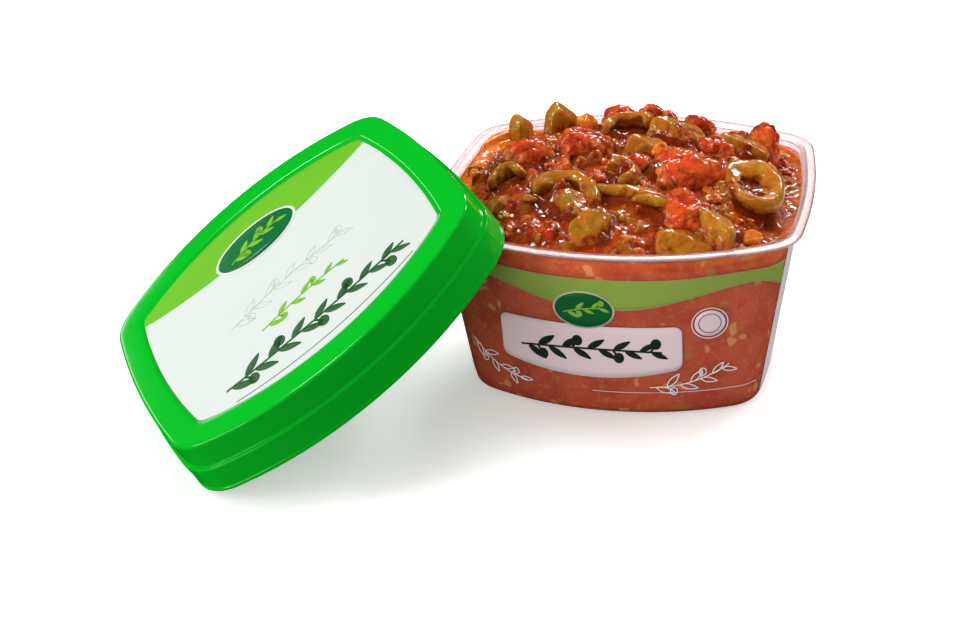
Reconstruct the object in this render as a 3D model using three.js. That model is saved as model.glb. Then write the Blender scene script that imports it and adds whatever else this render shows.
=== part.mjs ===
// A clear plastic deli tub heaped with olive salad, opened, with its green lid leaning against its left side.
// Millimetres, +Z up. The origin is the middle of the tub's base, on the surface that it stands on.
// The tub and the lid share one plan: a square with bowed sides and round corners, called an outline here.

import * as THREE from 'three';
import { mergeVertices } from 'three/addons/utils/BufferGeometryUtils.js';

// ---------------------------------------------------------------- driving dimensions

const RIM = { halfLength: 60, halfDepth: 61, bowLong: 17.5, bowShort: 3, corner: 16.5 };
const BASE = { halfLength: 48.5, halfDepth: 46.5, bowLong: 12, bowShort: 3, corner: 14 };
const TUB_HEIGHT = 61;
const TUB_WALL = 1.0;
const FLANGE_WIDTH = 3.0;
const FLANGE_THICK = 1.3;
const BASE_FILLET = 2.0;
const WALL_STEPS = 3;

const LID_OVER_RIM = 1.5;
const LID_WALL = 0.9;
const LID_BAND_HIGH = 8.5; // the upper band of the skirt, down from the flat border
const LID_BAND_LOW = 9.3; // the lower band, which grips the tub's flange
const LID_TOP_INSET = 2.4;
const LID_STEP_INSET = 1.4;
const LID_BEAD = 0.45; // how far the bead at the skirt's foot stands out
const LID_EDGE = 0.9; // the round edge between border and skirt
const RECESS = { halfLength: 51, halfDepth: 50.5, bowLong: 13, bowShort: 3, corner: 6.5 };
const RECESS_DEPTH = 1.8;
const RECESS_DRAFT = 2.1;
const LABEL_THICK = 0.6;
const GAP = 0.3;

const LID_YAW = 36; // degrees about the upright
const LID_TILT = 32; // degrees that the end on the tub's rim is raised
const LID_ROLL = 0.8;
const LID_CENTRE = [-101.1, -54.3, 47.56]; // the middle of the flat border's plane

const FILL_LEVEL = 57.5; // the sauce against the wall
const HEAP_HIGH = 10; // the heap's middle above that level
const HEAP = { x: -1, y: 0, halfLength: 50, halfDepth: 53, square: 2.4, steep: 0.6 };

// The chunks that stand out of the heap: middle, half size along and across, turn in degrees, and top.
const CHUNKS = [
  { kind: 'olive', x: -28, y: 36, along: 7, across: 6, turn: 20, top: 75 },
  { kind: 'olive', x: -43, y: 41, along: 5, across: 4.5, turn: 60, top: 65 },
  { kind: 'tomato', x: -32, y: 0, along: 11, across: 9, turn: 20, top: 71.5 },
  { kind: 'tomato', x: -16, y: 4, along: 9.5, across: 8, turn: 60, top: 73 },
  { kind: 'olive', x: -4, y: 27, along: 9, across: 6, turn: 25, top: 73 },
  { kind: 'olive', x: 5, y: 8, along: 9, across: 5.5, turn: -20, top: 72 },
  { kind: 'tomato', x: -7, y: 40, along: 7, across: 6, turn: 0, top: 72.5 },
  { kind: 'tomato', x: 5, y: 42, along: 6, across: 5.5, turn: 0, top: 72 },
  { kind: 'olive', x: 13, y: 23, along: 11, across: 7.5, turn: -30, top: 73.5 },
  { kind: 'tomato', x: 18, y: 37, along: 6.5, across: 5.5, turn: -40, top: 70.5 },
  { kind: 'tomato', x: 26, y: 18, along: 6, across: 5, turn: -30, top: 68.5 },
  { kind: 'tomato', x: 31, y: 37, along: 6, across: 4, turn: -35, top: 64.5 },
  { kind: 'olive', x: 40, y: 27, along: 9.5, across: 7, turn: -20, top: 69 },
  { kind: 'tomato', x: 22, y: -8, along: 14, across: 9, turn: -10, top: 71 },
  { kind: 'ring', x: 41, y: -10, along: 12, across: 8, turn: -45, top: 69.5 },
  { kind: 'ring', x: -16, y: -28, along: 11, across: 8, turn: -25, top: 70 },
  { kind: 'olive', x: -35, y: -30, along: 7, across: 5.5, turn: -60, top: 66 },
  { kind: 'olive', x: -36, y: -17, along: 6, across: 5, turn: 40, top: 68.5 },
  { kind: 'olive', x: -3, y: -45, along: 8.5, across: 5.5, turn: 40, top: 66.5 },
  { kind: 'olive', x: 4, y: -29, along: 11, across: 3.5, turn: -5, top: 69.5 },
  { kind: 'olive', x: 2, y: -15, along: 7, across: 5, turn: -40, top: 70 },
  { kind: 'tomato', x: 21, y: -35, along: 9, across: 6.5, turn: -20, top: 69.5 },
  { kind: 'olive', x: 28, y: -43, along: 9.5, across: 6, turn: -25, top: 65.5 },
  { kind: 'tomato', x: -16, y: -46, along: 4, across: 3.5, turn: 0, top: 63.5 },
  { kind: 'tomato', x: 42, y: -36, along: 4.5, across: 4, turn: 10, top: 60.5 },
];
const CHUNK_EDGE = 2.6; // how square a chunk's bump is: 2 is an ellipsoid
const RING_HOLLOW = 3.5; // the depth of the hollow in an olive ring

const SIDE_STEPS = 3; // outline steps in half a short side
const CORNER_STEPS = 5;
const LONG_STEPS = 6; // outline steps in half a long side
const SALAD_CELLS = 20; // grid cells from the middle of the salad's top to its edge

// ---------------------------------------------------------------- the plan outline

// Where two circles about (shortX, 0) and (0, longY) of radii r and R cross, in the first quadrant.
function crossing(shortX, r, longY, R) {
  const apart = Math.hypot(shortX, longY);
  const along = (apart * apart + R * R - r * r) / (2 * apart);
  const aside = Math.sqrt(R * R - along * along);
  const unitX = shortX / apart;
  const unitY = -longY / apart;
  return new THREE.Vector2(unitX * along + unitY * aside, longY + unitY * along - unitX * aside);
}

// The closed outline of a plan, drawn in by inset: three arcs a quarter, tangent where they meet.
function outline(plan, inset = 0) {
  const halfLength = plan.halfLength - inset;
  const halfDepth = plan.halfDepth - inset;
  const corner = Math.max(plan.corner - inset, 1);
  const apexX = halfLength - plan.bowShort;
  const apexY = halfDepth - plan.bowLong;
  const longRadius = (apexX ** 2 + plan.bowLong ** 2) / (2 * plan.bowLong);
  const shortRadius = (apexY ** 2 + plan.bowShort ** 2) / (2 * plan.bowShort);
  const longY = halfDepth - longRadius;
  const shortX = halfLength - shortRadius;
  const centre = crossing(shortX, shortRadius - corner, longY, longRadius - corner);
  const shortEnd = Math.atan2(centre.y, centre.x - shortX);
  const longStart = Math.atan2(centre.y - longY, centre.x);
  const arcs = [
    [shortX, 0, shortRadius, 0, shortEnd, SIDE_STEPS],
    [centre.x, centre.y, corner, shortEnd, longStart, CORNER_STEPS],
    [0, longY, longRadius, longStart, Math.PI / 2, LONG_STEPS],
  ];
  const quarter = [];
  for (const [x, y, radius, from, to, steps] of arcs) {
    for (let i = 0; i < steps; i++) {
      const angle = from + ((to - from) * i) / steps;
      quarter.push([x + radius * Math.cos(angle), y + radius * Math.sin(angle)]);
    }
  }
  const top = [0, halfDepth];
  const mirrored = quarter.slice(1).reverse();
  const upper = [...quarter, top, ...mirrored.map(([x, y]) => [-x, y])];
  return [...upper, ...upper.map(([x, y]) => [-x, -y])];
}

// A plan between two others, share of the way from the first to the second.
function planBetween(first, second, share) {
  const plan = {};
  for (const key of Object.keys(first)) plan[key] = THREE.MathUtils.lerp(first[key], second[key], share);
  return plan;
}

// One ring of a lofted solid: an outline at a height.
function ring(plan, inset, z) {
  return outline(plan, inset).map(([x, y]) => [x, y, z]);
}

// The triangles between rings of equal count, each ring above or outside the one before.
function bands(rings) {
  const triangles = [];
  for (let r = 0; r + 1 < rings.length; r++) {
    const [low, high] = [rings[r], rings[r + 1]];
    low.forEach((point, i) => {
      const next = (i + 1) % low.length;
      triangles.push([point, low[next], high[next]], [point, high[next], high[i]]);
    });
  }
  return triangles;
}

// A flat cap about a middle point, facing down for a ring that starts a solid, up for one that ends it.
function cap(points, middle, facesUp) {
  return points.map((point, i) => {
    const next = points[(i + 1) % points.length];
    return facesUp ? [middle, point, next] : [middle, next, point];
  });
}

// Triangles, each three points, as one closed geometry with its corners shared.
function solid(triangles) {
  const geometry = new THREE.BufferGeometry();
  geometry.setAttribute('position', new THREE.Float32BufferAttribute(triangles.flat(2), 3));
  const merged = mergeVertices(geometry, 1e-3);
  merged.computeVertexNormals();
  return merged;
}

// A closed solid through rings, from the middle of the first ring to that of the last.
function loft(rings) {
  const middle = (points) => [0, 0, points[0][2]];
  const first = rings[0];
  const last = rings[rings.length - 1];
  return solid([...cap(first, middle(first), false), ...bands(rings), ...cap(last, middle(last), true)]);
}

// ---------------------------------------------------------------- the tub

// The tub's wall outline at a height, from the base's plan to the rim's plan drawn in by the flange.
function wallPlan(z) {
  const neck = { ...RIM };
  neck.halfLength -= FLANGE_WIDTH;
  neck.halfDepth -= FLANGE_WIDTH;
  neck.corner -= FLANGE_WIDTH;
  return planBetween(BASE, neck, z / TUB_HEIGHT);
}

function tubGeometry() {
  const flangeUnder = TUB_HEIGHT - FLANGE_THICK;
  const rings = [];
  rings.push(ring(wallPlan(0), BASE_FILLET, 0));
  rings.push(ring(wallPlan(0), BASE_FILLET * 0.3, BASE_FILLET * 0.3));
  for (let i = 0; i <= WALL_STEPS; i++) {
    const z = THREE.MathUtils.lerp(BASE_FILLET, flangeUnder, i / WALL_STEPS);
    rings.push(ring(wallPlan(z), 0, z));
  }
  rings.push(ring(RIM, 0.3, flangeUnder));
  rings.push(ring(RIM, 0, flangeUnder + FLANGE_THICK * 0.5));
  rings.push(ring(RIM, 0.3, TUB_HEIGHT));
  rings.push(ring(wallPlan(TUB_HEIGHT), TUB_WALL * 0.6, TUB_HEIGHT));
  rings.push(ring(wallPlan(flangeUnder), TUB_WALL, flangeUnder));
  for (let i = WALL_STEPS - 1; i >= 0; i--) {
    const z = THREE.MathUtils.lerp(BASE_FILLET + TUB_WALL, flangeUnder, i / WALL_STEPS);
    rings.push(ring(wallPlan(z), TUB_WALL, z));
  }
  rings.push(ring(wallPlan(TUB_WALL), TUB_WALL + BASE_FILLET, TUB_WALL));
  return loft(rings);
}

// ---------------------------------------------------------------- the salad

// How far a chunk lifts the surface at a point: 0 beyond its edge, its top at its middle.
function chunkHeight(chunk, x, y) {
  const turn = THREE.MathUtils.degToRad(chunk.turn);
  const dx = x - chunk.x;
  const dy = y - chunk.y;
  const along = Math.abs(dx * Math.cos(turn) + dy * Math.sin(turn)) / chunk.along;
  const across = Math.abs(dy * Math.cos(turn) - dx * Math.sin(turn)) / chunk.across;
  const out = along ** CHUNK_EDGE + across ** CHUNK_EDGE;
  if (out >= 1) return -Infinity;
  const rise = chunk.top - heapHeight(chunk.x, chunk.y);
  const hollow = chunk.kind === 'ring' ? RING_HOLLOW * Math.max(0, 1 - 3 * out) : 0;
  return heapHeight(x, y) + rise * (1 - out) ** 0.5 - hollow;
}

// The heap under the chunks, level with the sauce at the wall.
function heapHeight(x, y) {
  const u = Math.abs(x - HEAP.x) / HEAP.halfLength;
  const v = Math.abs(y - HEAP.y) / HEAP.halfDepth;
  const out = u ** HEAP.square + v ** HEAP.square;
  return FILL_LEVEL + HEAP_HIGH * Math.max(0, 1 - out) ** HEAP.steep;
}

function surfaceHeight(x, y) {
  return Math.max(heapHeight(x, y), ...CHUNKS.map((chunk) => chunkHeight(chunk, x, y)));
}

// A closed outline taken again as count points, evenly along it.
function evenly(points, count) {
  const lengths = [0];
  points.forEach(([x, y], i) => {
    const [nextX, nextY] = points[(i + 1) % points.length];
    lengths.push(lengths[i] + Math.hypot(nextX - x, nextY - y));
  });
  const total = lengths[points.length];
  const even = [];
  let from = 0;
  for (let i = 0; i < count; i++) {
    const reach = (total * i) / count;
    while (lengths[from + 1] < reach) from++;
    const share = (reach - lengths[from]) / (lengths[from + 1] - lengths[from]);
    const [x, y] = points[from];
    const [nextX, nextY] = points[(from + 1) % points.length];
    even.push([THREE.MathUtils.lerp(x, nextX, share), THREE.MathUtils.lerp(y, nextY, share)]);
  }
  return even;
}

// Where cell corner (u, v) of a square grid goes when the grid's edge is pulled onto the outline.
function gridPlace(edge, u, v) {
  const level = Math.max(Math.abs(u), Math.abs(v));
  if (level === 0) return [0, 0];
  let along = v;
  if (u !== level) {
    if (v === level) along = 2 * level - u;
    else if (u === -level) along = 4 * level - v;
    else along = 6 * level + u;
  }
  const place = ((along * SALAD_CELLS) / level + edge.length) % edge.length;
  const before = edge[Math.floor(place)];
  const after = edge[(Math.floor(place) + 1) % edge.length];
  const share = place - Math.floor(place);
  const out = level / SALAD_CELLS;
  return [0, 1].map((axis) => THREE.MathUtils.lerp(before[axis], after[axis], share) * out);
}

// The salad's lumpy top as a grid of cells, its edge level with the sauce.
function saladTop(edge) {
  const corner = (u, v) => {
    const [x, y] = gridPlace(edge, u, v);
    const onEdge = Math.max(Math.abs(u), Math.abs(v)) === SALAD_CELLS;
    return [x, y, onEdge ? FILL_LEVEL : surfaceHeight(x, y)];
  };
  const triangles = [];
  for (let u = -SALAD_CELLS; u < SALAD_CELLS; u++) {
    for (let v = -SALAD_CELLS; v < SALAD_CELLS; v++) {
      const [a, b, c, d] = [corner(u, v), corner(u + 1, v), corner(u + 1, v + 1), corner(u, v + 1)];
      triangles.push([a, b, c], [a, c, d]);
    }
  }
  return triangles;
}

function saladGeometry() {
  const inset = TUB_WALL + GAP;
  const floor = TUB_WALL + GAP;
  const evenRing = (plan, drawnIn, z) => evenly(outline(plan, drawnIn), 8 * SALAD_CELLS).map(([x, y]) => [x, y, z]);
  const bottom = evenRing(wallPlan(floor), inset + BASE_FILLET, floor);
  const foot = evenRing(wallPlan(BASE_FILLET + floor), inset, BASE_FILLET + floor);
  const edge = evenRing(wallPlan(FILL_LEVEL), inset, FILL_LEVEL);
  return solid([...cap(bottom, [0, 0, floor], false), ...bands([bottom, foot, edge]), ...saladTop(edge)]);
}

// ---------------------------------------------------------------- the lid

const LID = { ...RIM };
LID.halfLength += LID_OVER_RIM;
LID.halfDepth += LID_OVER_RIM;
LID.corner += LID_OVER_RIM;

// The lid in its own frame: the flat border's top at z = 0, the skirt below it.
function lidGeometry() {
  const foot = -LID_BAND_HIGH - LID_BAND_LOW;
  const step = -LID_BAND_HIGH;
  const floorInset = RECESS_DRAFT + GAP;
  const rings = [];
  rings.push(ring(RECESS, floorInset, -RECESS_DEPTH));
  rings.push(ring(RECESS, 0.3, -0.3));
  rings.push(ring(RECESS, 0, 0));
  rings.push(ring(LID, LID_TOP_INSET + LID_EDGE, 0));
  rings.push(ring(LID, LID_TOP_INSET + LID_EDGE * 0.3, -LID_EDGE * 0.3));
  rings.push(ring(LID, LID_TOP_INSET, -LID_EDGE));
  rings.push(ring(LID, LID_STEP_INSET + 0.3, step + 0.5));
  rings.push(ring(LID, LID_STEP_INSET - 0.4, step));
  rings.push(ring(LID, LID_STEP_INSET - 0.7, step - 0.6));
  rings.push(ring(LID, LID_BEAD, foot + 1.6));
  rings.push(ring(LID, 0, foot + 1.0));
  rings.push(ring(LID, 0, foot + 0.3));
  rings.push(ring(LID, 0.3, foot));
  rings.push(ring(LID, LID_BEAD + LID_WALL, foot));
  rings.push(ring(LID, LID_STEP_INSET - 0.7 + LID_WALL, step - 0.9));
  rings.push(ring(LID, LID_STEP_INSET + 0.3 + LID_WALL, step - 0.4));
  rings.push(ring(LID, LID_TOP_INSET + LID_WALL, -LID_WALL - LID_EDGE));
  rings.push(ring(LID, LID_TOP_INSET + LID_WALL + LID_EDGE, -LID_WALL));
  rings.push(ring(RECESS, -LID_WALL, -LID_WALL));
  rings.push(ring(RECESS, floorInset - LID_WALL, -RECESS_DEPTH - LID_WALL));
  return loft(rings.reverse());
}

// The label's card in the recess, clear of its floor and its sloping wall.
function labelGeometry() {
  const low = -RECESS_DEPTH + GAP;
  const rings = [
    ring(RECESS, RECESS_DRAFT + GAP * 2, low),
    ring(RECESS, RECESS_DRAFT + GAP * 2, low + LABEL_THICK),
  ];
  return loft(rings);
}

// ---------------------------------------------------------------- materials and the model

const CLEAR_PLASTIC = new THREE.MeshStandardMaterial({ color: '#e6e1ea', roughness: 0.15, metalness: 0 });
const SALAD = new THREE.MeshStandardMaterial({ color: '#a8431c', roughness: 0.25, metalness: 0 });
const GREEN_PLASTIC = new THREE.MeshStandardMaterial({ color: '#12b52a', roughness: 0.25, metalness: 0 });
const LABEL_PAPER = new THREE.MeshStandardMaterial({ color: '#e8ece9', roughness: 0.45, metalness: 0 });

function piece(name, geometry, material) {
  const mesh = new THREE.Mesh(geometry, material);
  mesh.name = name;
  return mesh;
}

const model = new THREE.Group();
model.add(piece('tub', tubGeometry(), CLEAR_PLASTIC));
model.add(piece('salad', saladGeometry(), SALAD));

const lid = new THREE.Group();
lid.position.set(...LID_CENTRE);
lid.rotation.order = 'ZYX';
lid.rotation.z = THREE.MathUtils.degToRad(LID_YAW);
lid.rotation.y = THREE.MathUtils.degToRad(-LID_TILT);
lid.rotation.x = THREE.MathUtils.degToRad(LID_ROLL);
lid.add(piece('lid', lidGeometry(), GREEN_PLASTIC));
lid.add(piece('lid_label', labelGeometry(), LABEL_PAPER));
model.add(lid);

export default model;
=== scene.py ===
"""A clear plastic deli tub heaped with olive salad, opened, with its green lid leaning against its left side.

Shapes are worked out in millimetres from the frame's boxes and the named sizes below, and become metres as
each piece is made. The tub and the lid share one plan: a square with bowed sides and round corners.
"""

import functools
import math

import bmesh
import bpy
import numpy as np
from mathutils import Euler, Matrix, Vector


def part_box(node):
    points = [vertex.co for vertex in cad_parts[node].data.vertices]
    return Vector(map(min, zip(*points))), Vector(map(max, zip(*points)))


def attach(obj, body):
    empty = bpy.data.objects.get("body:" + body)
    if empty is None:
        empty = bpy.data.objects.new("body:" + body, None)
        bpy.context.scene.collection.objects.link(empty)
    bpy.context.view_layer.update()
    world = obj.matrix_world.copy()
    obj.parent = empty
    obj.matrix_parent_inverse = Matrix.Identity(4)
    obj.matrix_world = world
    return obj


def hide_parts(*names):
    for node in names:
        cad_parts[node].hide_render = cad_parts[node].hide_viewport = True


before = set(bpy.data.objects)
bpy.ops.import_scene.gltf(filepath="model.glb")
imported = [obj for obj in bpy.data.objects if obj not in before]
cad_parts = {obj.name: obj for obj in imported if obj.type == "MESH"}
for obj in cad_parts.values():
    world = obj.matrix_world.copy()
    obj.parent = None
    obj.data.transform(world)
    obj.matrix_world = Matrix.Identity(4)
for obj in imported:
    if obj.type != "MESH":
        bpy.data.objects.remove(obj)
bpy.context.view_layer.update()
MM = 0.001

# ---------- sizes, in millimetres

TUB_BOX = [np.array(corner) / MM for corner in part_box("tub")]
LID_BOX = [np.array(corner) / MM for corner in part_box("lid")]


def plan(half_length, half_depth, bow_long, bow_short, corner):
    """A plan's half sizes, how far its long and its short sides bow out, and its corners' radius."""
    return np.array([half_length, half_depth, bow_long, bow_short, corner], float)


RIM = plan(TUB_BOX[1][0], TUB_BOX[1][1], 17.5, 3, 16.5)
BASE = plan(48.5, 46.5, 12, 3, 14)
TUB_HEIGHT = TUB_BOX[1][2]
TUB_WALL = 1.0
FLANGE_WIDTH = 3.0
FLANGE_THICK = 1.3
BASE_FILLET = 2.0
FLANGE_FILLET = 0.5  # under the flange, where it leaves the wall
MOUTH_ROUND = 1.6  # how far down the mouth's rounded edge reaches
INTO_WALL = 0.45  # the salad's skin under the wall's outer face, inside the plastic
INTO_FLOOR = 0.8  # and over the tub's underside, inside the plastic

LID = plan(RIM[0] + 1.5, RIM[1] + 1.5, RIM[2], RIM[3], RIM[4] + 1.5)
RECESS = plan(51, 50.5, 13, 3, 6.5)
LID_WALL = 0.9
LID_BAND_HIGH = 8.5
LID_BAND_LOW = 9.3
LID_TOP_INSET = 2.4
LID_STEP_INSET = 1.4
LID_BEAD = 0.45
RECESS_DEPTH = 1.8
RECESS_DRAFT = 2.1
LABEL_TOP = -0.9
LABEL_THICK = 0.6
LABEL_INSET = 1.6
LID_TURN = Euler((math.radians(0.8), math.radians(-32), math.radians(36)), "XYZ")

FILL_LEVEL = 57.5  # where the salad meets the wall
HEAP_HIGH = 10
HEAP_MIDDLE = -1
HEAP_HALF_LENGTH = 50
HEAP_HALF_DEPTH = 53
HEAP_SQUARE = 2.4
HEAP_STEEP = 0.6
SAUCE_DROP = 1.2  # how far the sauce lies under the solid's heap, between its chunks

OUTLINE_STEPS = (18, 12, 10)  # in a quarter: long side, corner, short side
WALL_STEPS = 14
FROSTED_FOOT = 4  # how many of the tub's rings, from its base up, are frosted
SALAD_CELLS = 132
FILM_THICK = 0.06


# ---------- the plan outline


def drawn_in(plan_sizes, inset):
    """A plan drawn in by inset all round."""
    half_length, half_depth, bow_long, bow_short, corner = plan_sizes
    same = 0 * inset
    sizes = [half_length - inset, half_depth - inset, bow_long + same, bow_short + same, corner - inset]
    return np.array(sizes)


def arcs(plan_sizes):
    """The three tangent arcs of a quarter outline, from the long side's middle round to the short side's.
    Each is a centre, a radius, and the angles from +Y at which it starts and ends."""
    half_length, half_depth, bow_long, bow_short, corner = plan_sizes
    apex_x = half_length - bow_short
    apex_y = half_depth - bow_long
    long_radius = (apex_x**2 + bow_long**2) / (2 * bow_long)
    short_radius = (apex_y**2 + bow_short**2) / (2 * bow_short)
    long_y = half_depth - long_radius
    short_x = half_length - short_radius
    long_reach = long_radius - corner
    short_reach = short_radius - corner
    apart = np.hypot(short_x, long_y)
    along = (apart**2 + long_reach**2 - short_reach**2) / (2 * apart)
    aside = np.sqrt(long_reach**2 - along**2)
    x = (short_x * along - long_y * aside) / apart
    y = long_y - (long_y * along + short_x * aside) / apart
    long_end = np.arctan2(x, y - long_y)
    short_start = np.arctan2(x - short_x, y)
    none = 0 * x
    return [
        (none, long_y, long_radius, none, long_end),
        (x, y, corner, long_end, short_start),
        (short_x, none, short_radius, short_start, none + math.pi / 2),
    ]


def outline(plan_sizes, inset=0.0, steps=OUTLINE_STEPS):
    """The closed outline, anticlockwise from the +X side's middle."""
    quarter = []
    for (x, y, radius, start, end), count in zip(arcs(drawn_in(plan_sizes, inset)), steps):
        turn = np.linspace(start, end, count, endpoint=False)
        quarter.append(np.stack([x + radius * np.sin(turn), y + radius * np.cos(turn)], 1))
    quarter = np.concatenate(quarter)
    middle = [[plan_sizes[0] - inset, 0.0]]
    half = np.concatenate([middle, quarter[:0:-1], quarter * [-1, 1]])
    return np.concatenate([half, -half])


def ring(plan_sizes, inset, z):
    """An outline at a height."""
    points = outline(plan_sizes, inset)
    return np.column_stack([points, np.full(len(points), float(z))])


def wall_plan(z):
    """The tub wall's outer plan at a height, or at each of several."""
    share = np.asarray(z, float) / TUB_HEIGHT
    spread = [-1] + [1] * share.ndim
    neck = drawn_in(RIM, FLANGE_WIDTH)
    return BASE.reshape(spread) + (neck - BASE).reshape(spread) * share


def arc_lengths(z):
    """How long the three arcs of the wall's quarter outline are at a height."""
    return [radius * (end - start) for _, _, radius, start, end in arcs(wall_plan(z))]


def on_wall(along, z, proud):
    """Places on the tub's outer wall: along it to the right from the front's middle, and up."""
    sign = np.where(along < 0, -1.0, 1.0)
    rest = np.abs(along)
    x = np.zeros_like(rest)
    y = np.zeros_like(rest)
    for centre_x, centre_y, radius, start, end in arcs(drawn_in(wall_plan(z), -proud)):
        turn = start + np.maximum(rest, 0) / radius
        reached = rest >= 0
        x = np.where(reached, centre_x + radius * np.sin(turn), x)
        y = np.where(reached, centre_y + radius * np.cos(turn), y)
        rest = rest - radius * (end - start)
    return np.stack([sign * x, -y, z], -1)


# ---------- shapes and meshes


class Shape:
    """Points in millimetres, faces as arrays of point numbers, and named values, one for each point."""

    def __init__(self, points, faces, **values):
        self.points = np.asarray(points, float)
        self.faces = [np.asarray(face_set, int) for face_set in faces]
        self.values = values

    def moved(self, matrix):
        turned = self.points @ np.array(matrix.to_3x3()).T + np.array(matrix.to_translation())
        return Shape(turned, self.faces, **self.values)


def joined(shapes):
    """Several shapes as one."""
    offsets = np.cumsum([0] + [len(shape.points) for shape in shapes])
    faces = [face_set + offset for shape, offset in zip(shapes, offsets) for face_set in shape.faces]
    values = {key: np.concatenate([shape.values[key] for shape in shapes]) for key in shapes[0].values}
    return Shape(np.concatenate([shape.points for shape in shapes]), faces, **values)


def added(name, data):
    """A new object in the scene."""
    made = bpy.data.objects.new(name, data)
    bpy.context.scene.collection.objects.link(made)
    return made


def piece(name, shapes, materials, stands_for=(), face_material=None):
    """A smooth closed mesh piece, its faces turned outward, that rides on the one body."""
    shape = joined(shapes)
    mesh = bpy.data.meshes.new(name)
    faces = [tuple(face) for face_set in shape.faces for face in face_set.tolist()]
    mesh.from_pydata((shape.points * MM).tolist(), [], faces)
    for material in materials:
        mesh.materials.append(material)
    mesh.shade_smooth()
    if face_material is not None:
        mesh.polygons.foreach_set("material_index", face_material)
    for key, value in shape.values.items():
        attribute = mesh.attributes.new(key, "FLOAT", "POINT")
        attribute.data.foreach_set("value", value.astype(np.float32))
    outward = bmesh.new()
    outward.from_mesh(mesh)
    bmesh.ops.recalc_face_normals(outward, faces=outward.faces)
    outward.to_mesh(mesh)
    outward.free()
    made = added(name, mesh)
    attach(made, "root")
    if stands_for:
        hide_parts(*stands_for)
    return made


def quads(rows, columns, closed_rows=False, closed_columns=False):
    """The faces of a grid of points laid out row by row."""
    row = np.arange(rows if closed_rows else rows - 1)[:, None]
    column = np.arange(columns if closed_columns else columns - 1)
    here = row * columns
    ahead = (row + 1) % rows * columns
    beside = (column + 1) % columns
    return np.stack([here + column, here + beside, ahead + beside, ahead + column], -1).reshape(-1, 4)


def fan(start, count, middle, facing_up):
    """Triangles from a ring of points to a middle point."""
    here = start + np.arange(count)
    following = start + (np.arange(count) + 1) % count
    middles = np.full(count, middle)
    return np.stack([here, following, middles] if facing_up else [following, here, middles], 1)


def loft(rings):
    """A closed shape through rings that go up the outside and down the inside, from middle to middle."""
    count = len(rings[0])
    ends = [[0, 0, rings[0][0][2]], [0, 0, rings[-1][0][2]]]
    points = np.concatenate([*rings, ends])
    first_middle = len(rings) * count
    faces = [
        quads(len(rings), count, closed_columns=True),
        fan(0, count, first_middle, False),
        fan((len(rings) - 1) * count, count, first_middle + 1, True),
    ]
    return Shape(points, faces)


def rounded(start, corner, end, steps):
    """Points of a profile from start to end round a corner, as a smooth curve."""
    share = np.linspace(0, 1, steps)[:, None]
    start, corner, end = np.array(start), np.array(corner), np.array(end)
    return list((1 - share) ** 2 * start + 2 * share * (1 - share) * corner + share**2 * end)


def floor_fillet(inset, z, steps):
    """Insets and heights round the tub's lower corner, from its wall in to its floor."""
    profile = []
    for turn in np.linspace(0, math.pi / 2, steps):
        profile.append((inset + BASE_FILLET * (1 - math.cos(turn)), z + BASE_FILLET * (1 - math.sin(turn))))
    return profile


def bend(plan_sizes, start, corner, end, steps):
    """Rings of a plan down a profile rounded at its corner, each point of it an inset and a height."""
    return [ring(plan_sizes, inset, z) for inset, z in rounded(start, corner, end, steps)]


def smooth_step(value, low, high):
    """0 up to low, 1 from high on, and a smooth rise between."""
    share = np.clip((value - low) / (high - low), 0, 1)
    return share * share * (3 - 2 * share)


# ---------- noise

# The noise's grid is turned, so that its rows never lie along a shape's own axes.
TWIST = np.array(Euler((0.6, 0.4, 0.9)).to_matrix())
# Large odd numbers that scramble a grid corner's place and seed, and then their sum.
SCRAMBLE = (374761393, 668265263, 1442695041)
SCRAMBLE_SEED = 974634777
SCRAMBLE_SUM = 1274126177


def lattice(cell, seed):
    """A number from 0 to 1 for each corner of a grid of whole numbers."""
    mixed = cell @ np.array(SCRAMBLE) + seed * SCRAMBLE_SEED
    mixed = ((mixed & 0xFFFFFFFF) ^ ((mixed >> 13) & 0x7FFFF)) * SCRAMBLE_SUM & 0xFFFFFFFF
    return ((mixed ^ (mixed >> 16)) & 0xFFFF) / 0xFFFF


def noise(points, size, seed):
    """Smooth noise from -1 to 1, with lumps about size across."""
    places = points @ TWIST / size
    cell = np.floor(places).astype(np.int64)
    share = smooth_step(places - cell, 0, 1)
    total = np.zeros(len(points))
    for corner in np.ndindex(2, 2, 2):
        weight = np.prod(np.where(np.array(corner) == 1, share, 1 - share), axis=1)
        total += weight * lattice(cell + np.array(corner), seed)
    return 2 * total - 1


def rough(points, size, octaves, seed):
    """Noise in octaves, each half the size and height of the one before."""
    return sum(noise(points, size / 2**octave, seed + octave) / 2**octave for octave in range(octaves))


# ---------- materials


def paint(code):
    """A colour such as "#a8431c" as the renderer's linear numbers."""
    parts = [int(code[i : i + 2], 16) / 255 for i in (1, 3, 5)]
    return [*[part / 12.92 if part <= 0.04045 else ((part + 0.055) / 1.055) ** 2.4 for part in parts], 1.0]


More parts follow.
